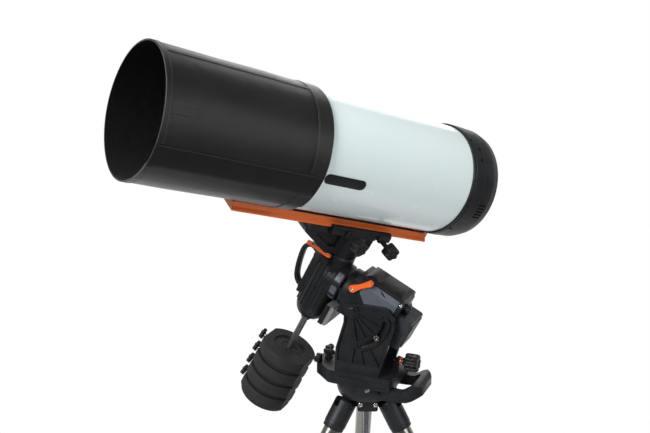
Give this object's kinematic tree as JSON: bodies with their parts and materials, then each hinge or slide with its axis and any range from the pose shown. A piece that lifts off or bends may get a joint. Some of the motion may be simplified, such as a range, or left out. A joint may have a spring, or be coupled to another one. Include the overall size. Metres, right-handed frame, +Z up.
{
  "type": "telescope",
  "caption": "Short wide telescope tube with a long flexible dew shield, on a German equatorial mount with stacked counterweights and a steel tripod.",
  "frame": {"origin": "on the floor, under the middle of the whole object's outline", "axes": "+Z up, -X towards the pole that the polar axis climbs to, -Y the side with the clutch levers"},
  "size_m": [1.1664, 1.3462, 1.9989],
  "materials": {
    "black_casting": "cast aluminium, satin black paint",
    "slate_casting": "cast aluminium, slate grey satin paint",
    "black_plastic": "moulded black plastic",
    "orange_paint": "orange powder coat",
    "orange_anodised": "burnt orange anodised aluminium",
    "tube_enamel": "pale bluish white gloss enamel",
    "polished_steel": "polished steel tube",
    "bronze": "machined bronze",
    "weight_iron": "cast iron, rough matt black paint",
    "corrector_glass": "coated optical glass",
    "mirror_glass": "silvered front surface",
    "shield_fabric": "flexible black sheet with a low sheen"
  },
  "bodies": {
    "tripod": {"tripod_hub": "black_casting", "centre_rod": "polished_steel"},
    "tray": {"spreader_tray": "black_casting"},
    "tray_knob": {"tray_knob": "black_plastic"},
    "azimuth": {"azimuth_base": "black_casting", "side_plate_near": "black_casting", "side_plate_far": "black_casting", "latitude_pivot_pin": "polished_steel"},
    "azimuth_lock": {"azimuth_lock_knob": "black_plastic"},
    "azimuth_screw_near": {"azimuth_screw_near": "black_plastic"},
    "azimuth_screw_far": {"azimuth_screw_far": "black_plastic"},
    "latitude_knob": {"latitude_knob": "black_plastic"},
    "polar": {"ra_housing": "black_casting", "ra_motor_cover": "black_plastic", "ra_rear_box": "slate_casting", "latitude_lock_bolt": "polished_steel"},
    "ra_lever": {"ra_clutch_lever": "orange_paint"},
    "worm": {"ra_worm": "polished_steel"},
    "rotor": {"dec_housing": "black_casting", "dec_motor_cover": "slate_casting", "carry_handle": "black_plastic", "ra_worm_wheel": "bronze", "counterweight_shaft": "polished_steel"},
    "dec_lever": {"dec_clutch_lever": "orange_paint"},
    "shaft_stop": {"shaft_end_stop": "black_plastic"},
    "saddle": {"saddle": "black_casting", "dec_worm_wheel": "bronze"},
    "jaw": {"saddle_jaw": "black_casting"},
    "saddle_knob_rear": {"saddle_knob_rear": "black_plastic"},
    "saddle_knob_front": {"saddle_knob_front": "black_plastic"},
    "tube": {"dovetail_rail": "orange_anodised", "main_tube": "tube_enamel", "rear_cell": "black_casting", "baffle_tube": "black_casting", "front_cell": "black_casting", "corrector_plate": "corrector_glass", "lens_cell": "black_casting"},
    "mirror": {"primary_mirror": "mirror_glass"},
    "focus": {"focus_knob": "black_plastic"},
    "shield": {"dew_shield": "shield_fabric"},
    "leg_right": {"leg_sleeve_right": "black_casting", "upper_leg_right": "polished_steel"},
    "lower_leg_right": {"lower_leg_right": "polished_steel"},
    "clamp_knob_right": {"clamp_knob_right": "black_plastic"},
    "leg_back": {"leg_sleeve_back": "black_casting", "upper_leg_back": "polished_steel"},
    "lower_leg_back": {"lower_leg_back": "polished_steel"},
    "clamp_knob_back": {"clamp_knob_back": "black_plastic"},
    "leg_left": {"leg_sleeve_left": "black_casting", "upper_leg_left": "polished_steel"},
    "lower_leg_left": {"lower_leg_left": "polished_steel"},
    "clamp_knob_left": {"clamp_knob_left": "black_plastic"},
    "weight_1": {"counterweight_1": "weight_iron"},
    "weight_knob_1": {"weight_knob_1": "black_plastic"},
    "weight_2": {"counterweight_2": "weight_iron"},
    "weight_knob_2": {"weight_knob_2": "black_plastic"},
    "weight_3": {"counterweight_3": "weight_iron"},
    "weight_knob_3": {"weight_knob_3": "black_plastic"},
    "weight_4": {"counterweight_4": "weight_iron"},
    "weight_knob_4": {"weight_knob_4": "black_plastic"}
  },
  "joints": [
    {"name": "leg_fold_right", "type": "hinge", "parent": "tripod", "child": "leg_right", "pos_m": [-0.01676, 0.04031, 0.926], "axis": [-0.1115, -0.9938, 0], "range_deg": [-16, 0]},
    {"name": "leg_slide_right", "type": "slide", "parent": "leg_right", "child": "lower_leg_right", "axis": [0.5222, -0.0586, -0.8508], "range_m": [0, 0.35]},
    {"name": "clamp_knob_spin_right", "type": "hinge", "parent": "leg_right", "child": "clamp_knob_right", "pos_m": [0.32267, 0.00224, 0.29305], "axis": [-0.8455, 0.0948, -0.5255], "continuous": true},
    {"name": "leg_fold_back", "type": "hinge", "parent": "tripod", "child": "leg_back", "pos_m": [-0.12271, 0.11842, 0.926], "axis": [0.9164, 0.4003, 0], "range_deg": [-16, 0]},
    {"name": "leg_slide_back", "type": "slide", "parent": "leg_back", "child": "lower_leg_back", "axis": [-0.2104, 0.4815, -0.8508], "range_m": [0, 0.35]},
    {"name": "clamp_knob_spin_back", "type": "hinge", "parent": "leg_back", "child": "clamp_knob_back", "pos_m": [-0.25945, 0.43141, 0.29305], "axis": [0.3406, -0.7797, -0.5255], "continuous": true},
    {"name": "leg_fold_left", "type": "hinge", "parent": "tripod", "child": "leg_left", "pos_m": [-0.13738, -0.01239, 0.926], "axis": [-0.8049, 0.5934, 0], "range_deg": [-16, 0]},
    {"name": "leg_slide_left", "type": "slide", "parent": "leg_left", "child": "lower_leg_left", "axis": [-0.3118, -0.4229, -0.8508], "range_m": [0, 0.35]},
    {"name": "clamp_knob_spin_left", "type": "hinge", "parent": "leg_left", "child": "clamp_knob_left", "pos_m": [-0.34007, -0.28731, 0.29305], "axis": [0.5049, 0.6848, -0.5255], "continuous": true},
    {"name": "tray_turn", "type": "hinge", "parent": "tripod", "child": "tray", "pos_m": [-0.09228, 0.04878, 0.54], "axis": [0, 0, 1], "range_deg": [-72, 0]},
    {"name": "tray_knob_spin", "type": "hinge", "parent": "tripod", "child": "tray_knob", "pos_m": [-0.09228, 0.04878, 0.524], "axis": [0, 0, 1], "continuous": true},
    {"name": "azimuth_adjust", "type": "hinge", "parent": "tripod", "child": "azimuth", "pos_m": [-0.09228, 0.04878, 0.964], "axis": [0, 0, 1], "range_deg": [-7, 7]},
    {"name": "azimuth_lock_spin", "type": "hinge", "parent": "azimuth", "child": "azimuth_lock", "pos_m": [-0.21828, 0.04878, 1.054], "axis": [0, 0, 1], "continuous": true},
    {"name": "azimuth_screw_near_spin", "type": "hinge", "parent": "azimuth", "child": "azimuth_screw_near", "pos_m": [-0.23428, -0.00122, 1.048], "axis": [0, -1, 0], "continuous": true},
    {"name": "azimuth_screw_far_spin", "type": "hinge", "parent": "azimuth", "child": "azimuth_screw_far", "pos_m": [-0.23428, 0.09878, 1.048], "axis": [0, 1, 0], "continuous": true},
    {"name": "latitude_knob_spin", "type": "hinge", "parent": "azimuth", "child": "latitude_knob", "pos_m": [0.04572, 0.04878, 1.064], "axis": [1, 0, 0], "continuous": true},
    {"name": "latitude_tilt", "type": "hinge", "parent": "azimuth", "child": "polar", "pos_m": [-0.11428, 0.04878, 1.224], "axis": [0, 1, 0], "range_deg": [-2, 31]},
    {"name": "ra_lever_swing", "type": "hinge", "parent": "polar", "child": "ra_lever", "pos_m": [-0.11436, -0.02122, 1.28992], "axis": [0, 1, 0], "range_deg": [-45, 0]},
    {"name": "ra_worm_spin", "type": "hinge", "parent": "polar", "child": "worm", "pos_m": [-0.14523, 0.04878, 1.21236], "axis": [0, 1, 0], "continuous": true},
    {"name": "ra_axis", "type": "hinge", "parent": "polar", "child": "rotor", "pos_m": [-0.21866, 0.04878, 1.30575], "axis": [-0.8894, 0, 0.4571], "range_deg": [-95, 95]},
    {"name": "dec_lever_swing", "type": "hinge", "parent": "rotor", "child": "dec_lever", "pos_m": [-0.19551, -0.01622, 1.37705], "axis": [0.4571, 0, 0.8894], "range_deg": [0, 60]},
    {"name": "shaft_stop_spin", "type": "hinge", "parent": "rotor", "child": "shaft_stop", "pos_m": [-0.44492, 0.04878, 0.86549], "axis": [0.4571, 0, 0.8894], "continuous": true},
    {"name": "dec_axis", "type": "hinge", "parent": "rotor", "child": "saddle", "pos_m": [-0.17295, 0.04878, 1.39469], "axis": [0.4571, 0, 0.8894], "continuous": true},
    {"name": "jaw_slide", "type": "slide", "parent": "saddle", "child": "jaw", "axis": [0.7277, -0.575, -0.374], "range_m": [0, 0.006]},
    {"name": "saddle_knob_rear_spin", "type": "hinge", "parent": "jaw", "child": "saddle_knob_rear", "pos_m": [-0.03782, 0.03546, 1.4107], "axis": [0.7277, -0.575, -0.374], "continuous": true},
    {"name": "saddle_knob_front_spin", "type": "hinge", "parent": "jaw", "child": "saddle_knob_front", "pos_m": [-0.09715, -0.05944, 1.44118], "axis": [0.7277, -0.575, -0.374], "continuous": true},
    {"name": "dovetail_slide", "type": "slide", "parent": "saddle", "child": "tube", "axis": [-0.5114, -0.8181, 0.2628], "range_m": [-0.06, 0.06]},
    {"name": "mirror_focus", "type": "slide", "parent": "tube", "child": "mirror", "axis": [-0.5114, -0.8181, 0.2628], "range_m": [-0.008, 0.008]},
    {"name": "focus_knob_spin", "type": "hinge", "parent": "tube", "child": "focus", "pos_m": [0.01773, 0.32988, 1.4993], "axis": [0.5114, 0.8181, -0.2628], "continuous": true},
    {"name": "dew_shield_slide", "type": "slide", "parent": "tube", "child": "shield", "axis": [-0.5114, -0.8181, 0.2628], "range_m": [0, 0.12]},
    {"name": "weight_slide_1", "type": "slide", "parent": "rotor", "child": "weight_1", "axis": [0.4571, 0, 0.8894], "range_m": [0, 0.1]},
    {"name": "weight_knob_spin_1", "type": "hinge", "parent": "weight_1", "child": "weight_knob_1", "pos_m": [-0.43954, 0.04878, 1.07286], "axis": [-0.8894, 0, 0.4571], "continuous": true},
    {"name": "weight_slide_2", "type": "slide", "parent": "rotor", "child": "weight_2", "axis": [0.4571, 0, 0.8894], "range_m": [0, 0.1]},
    {"name": "weight_knob_spin_2", "type": "hinge", "parent": "weight_2", "child": "weight_knob_2", "pos_m": [-0.46239, 0.04878, 1.02839], "axis": [-0.8894, 0, 0.4571], "continuous": true},
    {"name": "weight_slide_3", "type": "slide", "parent": "rotor", "child": "weight_3", "axis": [0.4571, 0, 0.8894], "range_m": [0, 0.1]},
    {"name": "weight_knob_spin_3", "type": "hinge", "parent": "weight_3", "child": "weight_knob_3", "pos_m": [-0.48525, 0.04878, 0.98392], "axis": [-0.8894, 0, 0.4571], "continuous": true},
    {"name": "weight_slide_4", "type": "slide", "parent": "rotor", "child": "weight_4", "axis": [0.4571, 0, 0.8894], "range_m": [0, 0.1]},
    {"name": "weight_knob_spin_4", "type": "hinge", "parent": "weight_4", "child": "weight_knob_4", "pos_m": [-0.5081, 0.04878, 0.93945], "axis": [-0.8894, 0, 0.4571], "continuous": true}
  ],
  "couplings": [
    {"joint": "leg_fold_back", "follows": "leg_fold_right", "ratio": 1},
    {"joint": "leg_fold_left", "follows": "leg_fold_right", "ratio": 1},
    {"joint": "tray_turn", "follows": "leg_fold_right", "ratio": 4.5},
    {"joint": "weight_slide_2", "follows": "weight_slide_1", "ratio": 1},
    {"joint": "weight_slide_3", "follows": "weight_slide_1", "ratio": 1},
    {"joint": "weight_slide_4", "follows": "weight_slide_1", "ratio": 1}
  ]
}
